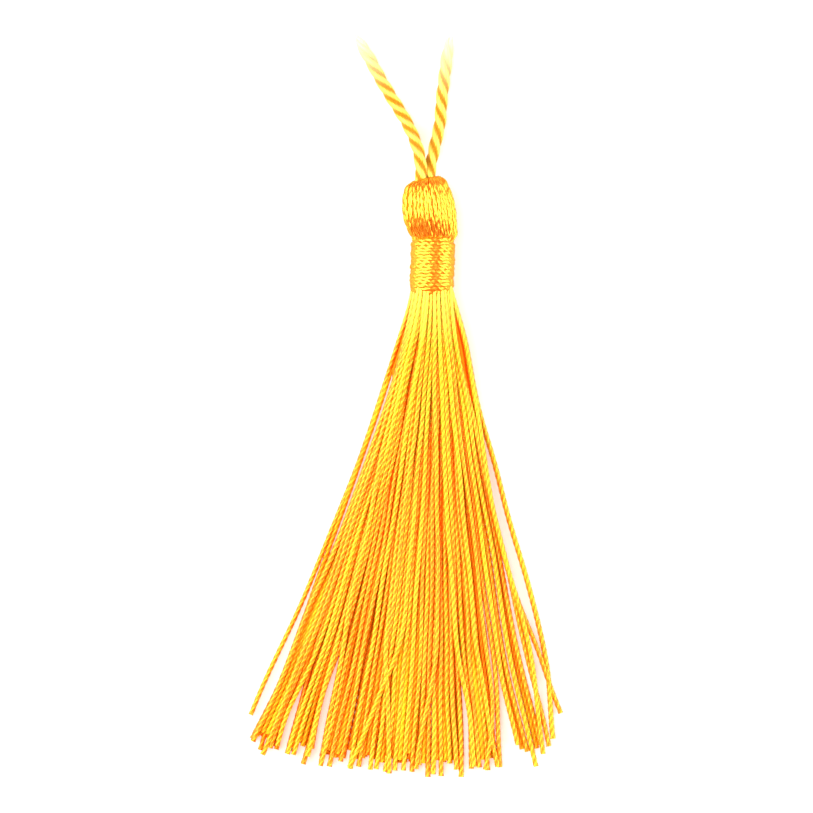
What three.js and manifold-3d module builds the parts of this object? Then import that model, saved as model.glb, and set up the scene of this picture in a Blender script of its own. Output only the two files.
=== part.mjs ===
// A silky tassel that lies on its side, with its skirt fanned out and its hanging cord above its head.
// Millimetres. +Y runs from the cut ends of the skirt to the head, +X is to the right, +Z is up.
// The origin is under the middle of the tassel, on the surface that it rests on.

import * as THREE from "three";
import { mergeVertices } from "three/addons/utils/BufferGeometryUtils.js";
import Module from "manifold-3d";

const wasm = await Module();
wasm.setup();

// Driving dimensions
const tasselLength = 80; // from the top of the head to the lowest cut end
const neckTop = 32.05; // where the binding meets the head
const neckBottom = 24.6; // where the binding ends and the skirt opens
const neckX = 3.45; // the neck stands to the right of the middle, because the skirt fans to the left
const neckZ = 2.62;
const bindingWidth = 5.95; // across the neck
const bindingDepth = 5.4; // up from the surface, before its underside is pressed flat
const bindingThickness = 0.35;
const cordDiameter = 1.45;
const clearance = 0.3; // between pieces
const sunk = 1; // how far rough forms reach below the surface before they are trimmed flat

const silk = { color: 0xffb81e, roughness: 0.45, metalness: 0 };

// ---- Shared helpers ----

// Joins rings of points, each with the same number, into one closed body. The caps are fans from each
// ring's first point.
function loft(rings) {
  const count = rings[0].length;
  const positions = rings.flat(2);
  const triangles = [];
  for (let ring = 0; ring < rings.length - 1; ring += 1) {
    for (let side = 0; side < count; side += 1) {
      const a = ring * count + side;
      const b = ring * count + ((side + 1) % count);
      triangles.push(a, b + count, b, a, a + count, b + count);
    }
  }
  const last = (rings.length - 1) * count;
  for (let side = 1; side < count - 1; side += 1) {
    triangles.push(0, side, side + 1);
    triangles.push(last, last + side + 1, last + side);
  }
  const geometry = new THREE.BufferGeometry();
  geometry.setAttribute("position", new THREE.Float32BufferAttribute(positions, 3));
  geometry.setIndex(triangles);
  return geometry;
}

function toSolid(geometry) {
  const bare = geometry.clone();
  bare.deleteAttribute("normal");
  bare.deleteAttribute("uv");
  const merged = mergeVertices(bare);
  return new wasm.Manifold(
    new wasm.Mesh({
      numProp: 3,
      vertProperties: new Float32Array(merged.attributes.position.array),
      triVerts: new Uint32Array(merged.index.array),
    }),
  );
}

function toGeometry(solid) {
  const mesh = solid.getMesh();
  const geometry = new THREE.BufferGeometry();
  geometry.setAttribute("position", new THREE.Float32BufferAttribute(mesh.vertProperties, 3));
  geometry.setIndex(Array.from(mesh.triVerts));
  return geometry;
}

// Everything under the surface is cut off, which leaves a flat where a form touches it.
function restOnSurface(solid) {
  const slab = new THREE.BoxGeometry(2 * tasselLength, 3 * tasselLength, 4 * sunk);
  slab.translate(0, 0, -2 * sunk);
  return solid.subtract(toSolid(slab));
}

// Reads a column of a table that is sorted from a high y to a low one.
function readTable(rows, y, column) {
  const next = rows.findIndex((row) => row.y <= y);
  if (next === 0) return rows[0][column];
  if (next < 0) return rows[rows.length - 1][column];
  const above = rows[next - 1];
  const below = rows[next];
  return THREE.MathUtils.mapLinear(y, above.y, below.y, above[column], below[column]);
}

// An oval ring of points round +Y. Every second point is drawn in by the depth of a flute.
function ovalRing({ y, x, z, width, depth }, points, flute = 0) {
  return Array.from({ length: points }, (_, point) => {
    const angle = (point / points) * 2 * Math.PI;
    const reach = point % 2 ? 1 - flute : 1;
    return [x + (Math.sin(angle) * width * reach) / 2, y, z + (Math.cos(angle) * depth * reach) / 2];
  });
}

function makeMesh(name, geometry) {
  const mesh = new THREE.Mesh(geometry, new THREE.MeshStandardMaterial(silk));
  mesh.name = name;
  return mesh;
}

// ---- Hanging cord ----

// Each leg starts inside the hank, comes out of the top of the head, and bends down to lie on the surface.
const leftLegRoute = [
  [2.75, 31.8, 3.25],
  [2.62, 33.2, 3.32],
  [2.38, 34.8, 3.45],
  [2.14, 36.6, 3.57],
  [1.95, 38.4, 3.64],
  [1.87, 40.0, 3.65],
  [1.84, 41.2, 3.6],
  [1.78, 42.4, 3.4],
  [1.55, 43.7, 3.0],
  [1.15, 45.0, 2.45],
  [0.62, 46.3, 1.85],
  [-0.05, 47.7, 1.3],
  [-0.8, 49.0, 0.93],
  [-1.62, 50.3, 0.78],
  [-2.45, 51.65, 0.75],
  [-3.25, 53.0, 0.75],
  [-4.0, 54.35, 0.75],
  [-4.75, 55.75, 0.75],
  [-5.5, 57.05, 0.75],
  [-6.3, 58.25, 0.75],
  [-7.0, 59.2, 0.75],
];
const rightLegRoute = [
  [4.1, 29.6, 2.0],
  [4.08, 31.0, 2.0],
  [3.96, 32.6, 2.08],
  [3.72, 34.4, 2.22],
  [3.46, 36.4, 2.37],
  [3.27, 38.4, 2.45],
  [3.2, 40.0, 2.45],
  [3.27, 41.2, 2.4],
  [3.42, 42.4, 2.25],
  [3.66, 43.7, 1.95],
  [3.93, 45.0, 1.6],
  [4.25, 46.3, 1.25],
  [4.48, 47.6, 0.97],
  [4.6, 48.9, 0.8],
  [4.69, 50.3, 0.75],
  [4.83, 51.7, 0.75],
  [5.0, 53.0, 0.75],
  [5.17, 54.4, 0.75],
  [5.35, 55.8, 0.75],
  [5.55, 57.1, 0.75],
  [5.72, 58.3, 0.75],
  [5.75, 59.3, 0.75],
];

// A tube along a route, with one step for each two diameters or so.
function cordTube(route, diameter) {
  const points = route.map((point) => new THREE.Vector3(...point));
  const path = new THREE.CatmullRomCurve3(points, false, "centripetal");
  const section = new THREE.Shape();
  const sides = 8;
  for (let side = 0; side < sides; side += 1) {
    const angle = (side / sides) * 2 * Math.PI;
    const corner = [(Math.cos(angle) * diameter) / 2, (Math.sin(angle) * diameter) / 2];
    if (side === 0) section.moveTo(...corner);
    else section.lineTo(...corner);
  }
  section.closePath();
  const steps = Math.round(path.getLength() / (1.5 * diameter));
  return new THREE.ExtrudeGeometry(section, { steps, bevelEnabled: false, extrudePath: path });
}

// The room that a leg takes up inside the hank, with clearance round it and past its end.
function cordBore(route) {
  const end = new THREE.Vector3(...route[0]);
  const next = new THREE.Vector3(...route[1]);
  const past = end.clone().add(end.clone().sub(next).setLength(clearance));
  const hidden = route.filter(([, y]) => y < tasselLength / 2 + 2);
  return toSolid(cordTube([past.toArray(), ...hidden], cordDiameter + 2.2 * clearance));
}

// ---- Head and neck of the hank ----

// Sections of the folded end and the core under the binding, from the fold down.
const headSections = [
  { y: tasselLength / 2, x: 2.9, z: 2.85, width: 3.6, depth: 3.4 },
  { y: 39.8, x: 2.9, z: 2.85, width: 4.7, depth: 4.2 },
  { y: 39.3, x: 2.8, z: 2.85, width: 5.8, depth: 5.1 },
  { y: 38.4, x: 2.75, z: 2.88, width: 6.5, depth: 5.7 },
  { y: 37.0, x: 2.78, z: 2.9, width: 6.95, depth: 6.05 },
  { y: 35.3, x: 2.9, z: 2.9, width: 7.1, depth: 6.1 },
  { y: 33.8, x: 3.15, z: 2.88, width: 6.85, depth: 5.9 },
  { y: 32.9, x: 3.35, z: 2.85, width: 6.5, depth: 5.5 },
  { y: neckTop + clearance, x: 3.4, z: 2.75, width: 5.9, depth: 5.1 },
];
const core = {
  x: neckX,
  z: neckZ,
  width: bindingWidth - 2 * (bindingThickness + clearance),
  depth: bindingDepth - 2 * (bindingThickness + clearance),
};
const headColumns = 15; // folded threads round the head that stand out, each with a groove beside it

function makeHead() {
  return toSolid(loft(headSections.map((section) => ovalRing(section, 2 * headColumns, 0.035))));
}

function makeCore() {
  const ends = [neckTop + 2, neckBottom - 1];
  return toSolid(loft(ends.map((y) => ovalRing({ y, ...core }, 2 * headColumns))));
}

// ---- Skirt ----

// One row for each lock, from left to right. tipX and tipY are the middle of its cut end, width is
// measured across that end, and bow is the share of its spread that comes late, near the end.
const locks = [
  { tipX: -19.9, tipY: -36.0, width: 2.0, bow: 0.14 },
  { tipX: -18.0, tipY: -36.8, width: 2.2, bow: 0.17 },
  { tipX: -15.1, tipY: -36.9, width: 2.2, bow: 0.16 },
  { tipX: -13.1, tipY: -37.9, width: 2.2, bow: 0.15 },
  { tipX: -10.6, tipY: -38.6, width: 2.6, bow: 0.14 },
  { tipX: -8.2, tipY: -38.7, width: 2.7, bow: 0.12 },
  { tipX: -5.7, tipY: -38.5, width: 2.7, bow: 0.1 },
  { tipX: -3.3, tipY: -39.3, width: 2.7, bow: 0.08 },
  { tipX: -0.8, tipY: -39.6, width: 2.7, bow: 0.06 },
  { tipX: 1.6, tipY: -tasselLength / 2, width: 2.7, bow: 0.05 },
  { tipX: 4.1, tipY: -39.2, width: 2.7, bow: 0.05 },
  { tipX: 6.5, tipY: -39.5, width: 2.7, bow: 0.06 },
  { tipX: 9.0, tipY: -39.4, width: 2.7, bow: 0.08 },
  { tipX: 11.4, tipY: -38.7, width: 2.4, bow: 0.1 },
  { tipX: 15.1, tipY: -36.6, width: 1.7, bow: 0.12 },
  { tipX: 16.6, tipY: -38.3, width: 1.7, bow: 0.13 },
  { tipX: 17.7, tipY: -35.8, width: 1.1, bow: 0.09 },
  { tipX: 19.0, tipY: -35.9, width: 0.9, bow: -0.02 },
];

// Single threads that have strayed from the fan. leaves is where one comes away from it.
const strays = [
  { tipX: -20.72, tipY: -31.8, width: 0.75, rootX: 0.9, bow: 0.2, leaves: 13 },
  { tipX: 20.72, tipY: -31.8, width: 0.75, rootX: 6.5, bow: 0.2, leaves: 13 },
  { tipX: 19.9, tipY: -35.1, width: 0.75, rootX: 6.1, bow: -0.2, leaves: -6 },
];

// How thick the middle of the skirt lies, and how high its underside is.
const skirtProfile = [
  { y: neckBottom - clearance, height: 4.1, underside: 0.65 },
  { y: 22, height: 4.6, underside: 0.25 },
  { y: 19, height: 4.6, underside: 0 },
  { y: 10, height: 3.6, underside: 0 },
  { y: -8, height: 2.4, underside: 0 },
  { y: -27, height: 1.7, underside: 0 },
  { y: -tasselLength / 2, height: 1.3, underside: 0 },
];
const skirtRootWidth = 5.1; // across the threads, just below the binding
const fanStations = [neckBottom - clearance, 22.6, 20.5, 17.5, 13.5, 8, 1.5, -6, -15, -24];
const grooveDepth = 0.45; // of the groove between two locks
const grooveShare = 0.4; // the deepest that a groove may be, as a share of the distance between two crests
const grooveShape = [
  { along: 0, depth: 0 },
  { along: 0.25, depth: 0.2 },
  { along: 0.5, depth: 1 },
  { along: 0.75, depth: 0.2 },
];
const edgeHeight = 0.55; // share of the height left at the skirt's two edges

locks.forEach((lock, order) => {
  lock.rootX = neckX + (order / (locks.length - 1) - 0.5) * skirtRootWidth;
});

function lockX(lock, y) {
  const run = (neckBottom - y) / (neckBottom - lock.tipY);
  const spread = run * (1 - lock.bow) + run * run * lock.bow;
  return lock.rootX + (lock.tipX - lock.rootX) * spread;
}

// The top of the skirt is highest in its middle.
function skirtTop(x, y) {
  const left = lockX(locks[0], y);
  const right = lockX(locks[locks.length - 1], y);
  const across = THREE.MathUtils.clamp((2 * x - left - right) / (right - left), -1, 1);
  const share = edgeHeight + (1 - edgeHeight) * Math.sqrt(1 - across * across);
  return readTable(skirtProfile, y, "underside") + share * readTable(skirtProfile, y, "height");
}

// A cut across the whole fan: a crest for each lock, a groove between two, and a flat underside. It starts
// in the middle of the underside, which sees the whole of the top.
function fanRing(y) {
  const crests = locks.map((lock) => lockX(lock, y));
  const half = 0.5 * Math.max((crests[crests.length - 1] - crests[0]) / (crests.length - 1), 0.7);
  const left = crests[0] - half;
  const right = crests[crests.length - 1] + half;
  const underside = readTable(skirtProfile, y, "underside");
  const inset = underside > 0 ? 0.2 * (right - left) : 0;
  const floor = underside > 0 ? underside : -sunk;
  const shoulder = underside + 0.4 * (skirtTop(left, y) - underside);
  const top = crests.flatMap((x, order) => {
    if (order === crests.length - 1) return [[x, y, skirtTop(x, y)]];
    const gap = crests[order + 1] - x;
    const deepest = Math.min(grooveDepth, grooveShare * gap);
    return grooveShape.map(({ along, depth }) => {
      const at = x + along * gap;
      return [at, y, skirtTop(at, y) - depth * deepest];
    });
  });
  return [
    [(left + right) / 2, y, floor],
    [left + inset, y, floor],
    [left, y, shoulder],
    ...top,
    [right, y, shoulder],
    [right - inset, y, floor],
  ];
}

// A cut across one lock or thread.
function lockRing(lock, y, width, top) {
  const x = lockX(lock, y);
  const half = width / 2;
  return [
    [x - half, y, -sunk],
    [x - half, y, 0.45 * top],
    [x - 0.6 * half, y, 0.88 * top],
    [x, y, top],
    [x + 0.6 * half, y, 0.88 * top],
    [x + half, y, 0.45 * top],
    [x + half, y, -sunk],
  ];
}

// The free end of a lock, from inside the fan to its cut end.
function makeLockEnd(lock, order) {
  const start = fanStations[fanStations.length - 1] + 5;
  const neighbour = locks[order === 0 ? 1 : order - 1];
  const steps = 4;
  const rings = Array.from({ length: steps + 1 }, (_, step) => {
    const y = THREE.MathUtils.lerp(start, lock.tipY, step / steps);
    const spacing = Math.abs(lockX(neighbour, start) - lockX(lock, start));
    const width = THREE.MathUtils.lerp(spacing, lock.width, step / steps);
    return lockRing(lock, y, width, 0.97 * skirtTop(lockX(lock, y), y));
  });
  return toSolid(loft(rings));
}

function makeStray(stray) {
  const steps = 5;
  const rings = Array.from({ length: steps + 1 }, (_, step) => {
    const y = THREE.MathUtils.lerp(stray.leaves, stray.tipY, step / steps);
    return lockRing(stray, y, stray.width, stray.width);
  });
  return toSolid(loft(rings));
}

function makeSkirt() {
  const fan = toSolid(loft(fanStations.map(fanRing)));
  const ends = [...locks.map(makeLockEnd), ...strays.map(makeStray)];
  return ends.reduce((whole, end) => whole.add(end), fan);
}

// ---- The hank, its binding and the cord ----

function makeHank() {
  const whole = makeHead().add(makeCore()).add(makeSkirt());
  const bored = whole.subtract(cordBore(leftLegRoute)).subtract(cordBore(rightLegRoute));
  return toGeometry(restOnSurface(bored));
}

// A sleeve of close turns, a little fuller in its middle, with its inside open for the neck.
const bindingSections = [
  { y: neckTop, x: 3.52, swell: -0.25 },
  { y: neckTop - 0.3, x: 3.52, swell: 0 },
  { y: 29.0, x: 3.5, swell: 0.05 },
  { y: 26.4, x: 3.36, swell: 0.03 },
  { y: neckBottom + 0.3, x: 3.36, swell: -0.15 },
  { y: neckBottom, x: 3.38, swell: -0.4 },
];

function makeBinding() {
  const sleeve = bindingSections.map(({ y, x, swell }) =>
    ovalRing({ y, x, z: neckZ, width: bindingWidth + swell, depth: bindingDepth + swell }, 2 * headColumns),
  );
  const room = { ...core, width: core.width + 2 * clearance, depth: core.depth + 2 * clearance };
  const bore = [neckTop + 1, neckBottom - 1].map((y) => ovalRing({ y, ...room }, 2 * headColumns));
  return toGeometry(restOnSurface(toSolid(loft(sleeve)).subtract(toSolid(loft(bore)))));
}

const tassel = new THREE.Group();
tassel.add(makeMesh("thread_hank", makeHank()));
tassel.add(makeMesh("neck_binding", makeBinding()));
tassel.add(makeMesh("cord_leg_left", cordTube(leftLegRoute, cordDiameter)));
tassel.add(makeMesh("cord_leg_right", cordTube(rightLegRoute, cordDiameter)));

export default tassel;
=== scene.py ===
import math
import bmesh
import bpy
import numpy as np
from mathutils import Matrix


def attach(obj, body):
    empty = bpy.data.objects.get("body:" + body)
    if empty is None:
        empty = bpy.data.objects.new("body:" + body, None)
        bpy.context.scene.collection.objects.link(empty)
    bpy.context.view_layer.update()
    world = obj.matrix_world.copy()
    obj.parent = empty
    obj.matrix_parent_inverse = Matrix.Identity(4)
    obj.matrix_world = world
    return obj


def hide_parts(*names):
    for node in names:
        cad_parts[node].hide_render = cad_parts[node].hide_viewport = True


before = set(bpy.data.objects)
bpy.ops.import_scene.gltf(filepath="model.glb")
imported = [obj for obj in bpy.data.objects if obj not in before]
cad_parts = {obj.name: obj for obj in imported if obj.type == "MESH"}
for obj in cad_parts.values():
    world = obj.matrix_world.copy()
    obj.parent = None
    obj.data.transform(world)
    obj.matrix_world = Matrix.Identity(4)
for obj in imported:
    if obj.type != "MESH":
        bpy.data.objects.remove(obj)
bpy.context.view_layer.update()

mm = 0.001  # tables are in millimetres, meshes in metres
fullTurn = 2 * math.pi

view = {  # width and middle of what the camera sees, and the height at which that is measured
    "width": 108.6, "middle": 9.55, "height": 2.0, "lens": 200.0, "sensor": 36.0,
    "clip": (0.01, 10.0),  # metres
}
studio = {  # metres, and degrees away from straight overhead
    "distance": 1.0, "brightness": 20.0, "nearEnd": -18.5, "farEnd": 36.0,
    "leftSoftbox": (-1, 5.0, 87.0), "rightSoftbox": (1, 38.0, 88.0),  # side, nearest, farthest
    "overheadSize": 0.60, "overheadPower": 6.0,
    "lampColor": (1.0, 0.98, 0.95), "fillColor": (1.0, 0.93, 0.90), "fill": 0.15,
    "floorColor": (0.42, 0.42, 0.42, 1), "floorSize": 3.0, "floorRoughness": 0.9, "floorShine": 0.1,
    "floorGlow": (1.0, 0.55, 0.40, 1), "glow": 0.8,  # warm, so that narrow gaps stay pink
}


def addObject(name, data):
    thing = bpy.data.objects.new(name, data)
    bpy.context.scene.collection.objects.link(thing)
    return thing


def makeCamera():
    data = bpy.data.cameras.new("camera")
    data.lens = view["lens"]
    data.sensor_width = view["sensor"]
    data.clip_start, data.clip_end = view["clip"]
    camera = addObject("camera", data)
    distance = view["width"] * view["lens"] / view["sensor"]
    camera.location = (0, view["middle"] * mm, (distance + view["height"]) * mm)
    bpy.context.scene.camera = camera


def makeLamp(name, width, length, middle, angle, power):
    data = bpy.data.lights.new(name, "AREA")
    data.shape = "RECTANGLE"
    data.size, data.size_y = width, length
    data.energy = power
    data.color = studio["lampColor"]
    lamp = addObject(name, data)
    distance = studio["distance"]
    lamp.location = (distance * math.sin(angle), middle, distance * math.cos(angle))
    lamp.rotation_euler = (0, angle, 0)
    lamp.visible_camera = False
    return lamp


def makeSoftbox(name):
    # covers the angles between nearest and farthest
    side, nearest, farthest = studio[name]
    angle = side * math.radians(nearest + farthest) / 2
    width = 2 * studio["distance"] * math.tan(math.radians(farthest - nearest) / 2)
    near = studio["distance"] * math.tan(math.radians(studio["nearEnd"]))
    far = studio["distance"] * math.tan(math.radians(studio["farEnd"]))
    power = studio["brightness"] * width * (far - near)
    makeLamp(name, width, far - near, (near + far) / 2, angle, power)


def makeOverhead():
    # lights the gaps between the threads without a shine of its own
    size = studio["overheadSize"]
    overhead = makeLamp("overheadFill", size, size, 0, 0, studio["overheadPower"])
    overhead.visible_glossy = False


def makeStage():
    half = studio["floorSize"] / 2
    mesh = bpy.data.meshes.new("floor")
    corners = [(-half, -half, 0), (half, -half, 0), (half, half, 0), (-half, half, 0)]
    mesh.from_pydata(corners, [], [(0, 1, 2, 3)])
    material = bpy.data.materials.new("paleFloor")
    material.use_nodes = True
    shader = material.node_tree.nodes["Principled BSDF"]
    shader.inputs["Base Color"].default_value = studio["floorColor"]
    shader.inputs["Roughness"].default_value = studio["floorRoughness"]
    shader.inputs["Specular IOR Level"].default_value = studio["floorShine"]
    shader.inputs["Emission Color"].default_value = studio["floorGlow"]
    shader.inputs["Emission Strength"].default_value = studio["glow"]
    mesh.materials.append(material)
    addObject("floor", mesh)
    world = bpy.data.worlds.new("studio")
    world.use_nodes = True
    background = world.node_tree.nodes["Background"]
    background.inputs["Color"].default_value = (*studio["fillColor"], 1)
    background.inputs["Strength"].default_value = studio["fill"]
    bpy.context.scene.world = world
    bpy.context.scene.view_settings.view_transform = "Standard"


makeCamera()
makeSoftbox("leftSoftbox")
makeSoftbox("rightSoftbox")
makeOverhead()
makeStage()
print("camera, lights and floor are set")


class Net:
    # a node tree being wired; make adds any node and hands back one of its outputs
    def __init__(self, tree):
        self.tree = tree

    def make(self, kind, settings=None, values=None, output=0):
        node = self.tree.nodes.new(kind)
        for name, value in (settings or {}).items():
            if name == "stops":
                self.setStops(node.color_ramp.elements, value)
            else:
                setattr(node, name, value)
        for name, value in (values or {}).items():
            if isinstance(value, Wire):
                self.tree.links.new(value.socket, node.inputs[name])
            else:
                node.inputs[name].default_value = value
        return Wire(self, node.outputs[output]) if node.outputs else None

    def attribute(self, name, output="Fac"):
        return self.make("ShaderNodeAttribute", {"attribute_name": name}, None, output)

    def setStops(self, elements, stops):
        while len(elements) < len(stops):
            elements.new(0.5)
        for element, (position, color) in zip(elements, stops):
            element.position = position
            element.color = (*color, 1)


class Wire:
    # one output socket; arithmetic on wires adds Math nodes
    def __init__(self, net, socket):
        self.net = net
        self.socket = socket

    def reckon(self, operation, first, second=0.0):
        return self.net.make("ShaderNodeMath", {"operation": operation}, {0: first, 1: second})

    def other(self, name):
        return Wire(self.net, self.socket.node.outputs[name])

    def __add__(self, value):
        return self.reckon("ADD", self, value)

    def __sub__(self, value):
        return self.reckon("SUBTRACT", self, value)

    def __rsub__(self, value):
        return self.reckon("SUBTRACT", value, self)

    def __mul__(self, value):
        return self.reckon("MULTIPLY", self, value)

    def __truediv__(self, value):
        return self.reckon("DIVIDE", self, value)

    def __pow__(self, value):
        return self.reckon("POWER", self, value)

    def __mod__(self, value):
        return self.reckon("MODULO", self, value)

    __radd__ = __add__
    __rmul__ = __mul__

    def clamped(self):
        return self.net.make("ShaderNodeClamp", None, {"Value": self})


silk = {  # what every silk has unless its own table says otherwise; lengths are in metres
    # lit is the colour in the light; darkAndShaded is the painted shade of grooves and buried
    # threads, and also the dark end of the random tone
    "lit": (0.52, 0.07, 0.002), "darkAndShaded": (0.56, 0.028, 0.001), "sheenTint": (1.0, 0.84, 0.085, 1),
    "ior": 2.6, "roughness": 0.17, "fibreRound": 5.0, "fibreAlong": 350.0, "fibreHeight": 0.00001,
    "fibreDetail": 3.0, "fibreBreak": 0.6, "fibreRough": 0.1, "fibreShift": 57.0,
    "grooveShade": 0.45, "grooveRough": 0.35, "depthShade": 0.6, "fibreShade": 0.5,
    "strandShade": 0.25, "toneShade": 0.2, "toneAlong": 90.0, "toneDetail": 1.0, "toneShift": 83.0,
    "sheen": 0.0, "sheenRoughness": 0.4, "sheenColor": (1.0, 0.93, 0.45, 1),
    "startHighlight": 0.0, "startOver": 0.009, "palestEnd": 0.0, "endFrom": 0.0205, "endOver": 0.010,
    "pale": (1.0, 0.93, 0.50, 1),
}


def makeSilk(name, looks=None):
    finish = {**silk, **(looks or {})}
    material = bpy.data.materials.new(name)
    material.use_nodes = True
    net = Net(material.node_tree)
    shader = material.node_tree.nodes["Principled BSDF"]
    around = net.attribute("around", "Vector")
    along, strand, turn = net.attribute("along"), net.attribute("strand"), net.attribute("turn")
    groove, depth = 1 - net.attribute("crest"), net.attribute("depth")
    # the plies turn one way and the fibres in them the other, so the fibres lie along the thread
    turning = {"Vector": around, "Angle": turn}
    straight = net.make("ShaderNodeVectorRotate", {"rotation_type": "Z_AXIS"}, turning)
    scaling = {0: straight, "Scale": finish["fibreRound"]}
    scaled = net.make("ShaderNodeVectorMath", {"operation": "SCALE"}, scaling)
    height = along * finish["fibreAlong"] + strand * finish["fibreShift"]
    rise = net.make("ShaderNodeCombineXYZ", None, {"Z": height})
    place = net.make("ShaderNodeVectorMath", {"operation": "ADD"}, {0: scaled, 1: rise})
    detail, roughness = finish["fibreDetail"], finish["fibreBreak"]
    grain = {"Vector": place, "Scale": 1.0, "Detail": detail, "Roughness": roughness}
    fibres = net.make("ShaderNodeTexNoise", None, grain, "Fac")
    spread = {"X": along * finish["toneAlong"], "Y": strand * finish["toneShift"]}
    drift = net.make("ShaderNodeCombineXYZ", None, spread)
    patches = {"Vector": drift, "Scale": 1.0, "Detail": finish["toneDetail"]}
    tone = net.make("ShaderNodeTexNoise", None, patches, "Fac")
    # painted shade: the grooves between plies and the depth attribute pull the colour towards the
    # shaded one; the noises and the strand value add tone that differs at random
    shades = groove * finish["grooveShade"] + depth * finish["depthShade"]
    uneven = (fibres - 0.5) * finish["fibreShade"] + (tone - 0.5) * finish["toneShade"]
    paintedShadeAndTone = (shades + uneven + (strand - 0.5) * finish["strandShade"]).clamped()
    stops = [(0.0, finish["lit"]), (1.0, finish["darkAndShaded"])]
    color = net.make("ShaderNodeValToRGB", {"stops": stops}, {"Fac": paintedShadeAndTone}, "Color")
    # painted highlight: near a thread's start the colour is mixed towards the pale colour; towards
    # the cord's cut ends it turns paler as well
    nearStart = (1 - along / finish["startOver"]).clamped()
    nearEnd = ((along - finish["endFrom"]) / finish["endOver"]).clamped()
    highlightAndPaleEnds = nearStart * finish["startHighlight"] + nearEnd * nearEnd * finish["palestEnd"]
    # the factor, and the two colours that it mixes into output 2
    mixing = {0: highlightAndPaleEnds, 6: color, 7: finish["pale"]}
    color = net.make("ShaderNodeMix", {"data_type": "RGBA"}, mixing, 2)
    bumpValues = {"Height": fibres, "Strength": 1.0, "Distance": finish["fibreHeight"]}
    bump = net.make("ShaderNodeBump", None, bumpValues, "Normal")
    smoothest = finish["roughness"] - finish["fibreRough"] / 2
    rough = groove * groove * finish["grooveRough"] + fibres * finish["fibreRough"] + smoothest
    values = {"Base Color": color, "Roughness": rough, "Normal": bump}
    for socket, wire in values.items():
        net.tree.links.new(wire.socket, shader.inputs[socket])
    shader.inputs["IOR"].default_value = finish["ior"]
    shader.inputs["Specular IOR Level"].default_value = 1.0
    shader.inputs["Specular Tint"].default_value = finish["sheenTint"]
    shader.inputs["Sheen Weight"].default_value = finish["sheen"]
    shader.inputs["Sheen Roughness"].default_value = finish["sheenRoughness"]
    shader.inputs["Sheen Tint"].default_value = finish["sheenColor"]
    return material


headSilk = makeSilk("headSilk")
skirtSilk = makeSilk("skirtSilk", {
    "lit": (0.41, 0.41, 0.010), "darkAndShaded": (0.72, 0.081, 0.001), "sheenTint": (0.93, 0.86, 0.11, 1),
    "ior": 1.72, "roughness": 0.26, "fibreShade": 2.4, "strandShade": 0.5,
    "grooveShade": 1.05, "toneShade": 0.8, "fibreRound": 4.0, "fibreAlong": 2600.0,
    # painted highlight on the tight threads just under the binding
    "startHighlight": 0.4, "pale": (0.95, 0.82, 0.15, 1),
})
# painted shade: the colour of the tubes inside the skirt that the slits look into
shadedCoreSilk = makeSilk("shadedCoreSilk", {
    "lit": (0.80, 0.40, 0.010), "darkAndShaded": (0.92, 0.052, 0.001), "ior": 1.25, "roughness": 0.6,
    "grooveShade": 0.0, "depthShade": 1.0,
})
# painted shade: a darker, duller copy of the skirt silk for the threads that lie underneath
shadedInnerSilk = makeSilk("shadedInnerSilk", {
    "lit": (0.52, 0.38, 0.006), "darkAndShaded": (0.74, 0.096, 0.001), "ior": 1.55, "roughness": 0.40,
    "fibreShade": 1.5, "strandShade": 0.4, "grooveShade": 0.65, "toneShade": 0.7,
    "fibreRound": 3.0, "fibreAlong": 900.0,
})
# painted shade: the cord's grooves between plies take its dark colour
cordSilk = makeSilk("cordSilk", {
    "lit": (0.72, 0.46, 0.080), "darkAndShaded": (0.30, 0.083, 0.001), "ior": 2.0, "roughness": 0.32,
    "fibreRound": 8.0, "grooveShade": 1.15, "grooveRough": 0.6, "fibreShade": 0.6, "toneShade": 0.3,
    "strandShade": 0.0, "sheen": 0.5, "palestEnd": 0.75, "pale": (1.0, 0.96, 0.66, 1),
})
bindingSilk = makeSilk("bindingSilk", {
    "lit": (0.58, 0.11, 0.003), "ior": 2.3, "roughness": 0.24, "grooveShade": 0.5,
})
print("silk materials are made")


def addInputs(tree, inputs):
    tree.interface.new_socket("Geometry", in_out="INPUT", socket_type="NodeSocketGeometry")
    for name, kind in inputs:
        tree.interface.new_socket(name, in_out="INPUT", socket_type="NodeSocket" + kind)
    tree.interface.new_socket("Geometry", in_out="OUTPUT", socket_type="NodeSocketGeometry")
    net = Net(tree)
    entry = net.make("NodeGroupInput")
    return net, entry


def addOutput(net, mesh, material):
    smooth = net.make("GeometryNodeSetShadeSmooth", None, {"Geometry": mesh})
    whole = net.make("GeometryNodeRealizeInstances", None, {"Geometry": smooth})
    painted = net.make("GeometryNodeSetMaterial", None, {"Geometry": whole, "Material": material})
    net.make("NodeGroupOutput", None, {"Geometry": painted})


def store(net, geometry, name, value, kind="FLOAT", domain="POINT"):
    settings = {"data_type": kind, "domain": domain}
    values = {"Geometry": geometry, "Name": name, "Value": value}
    return net.make("GeometryNodeStoreNamedAttribute", settings, values)


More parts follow.
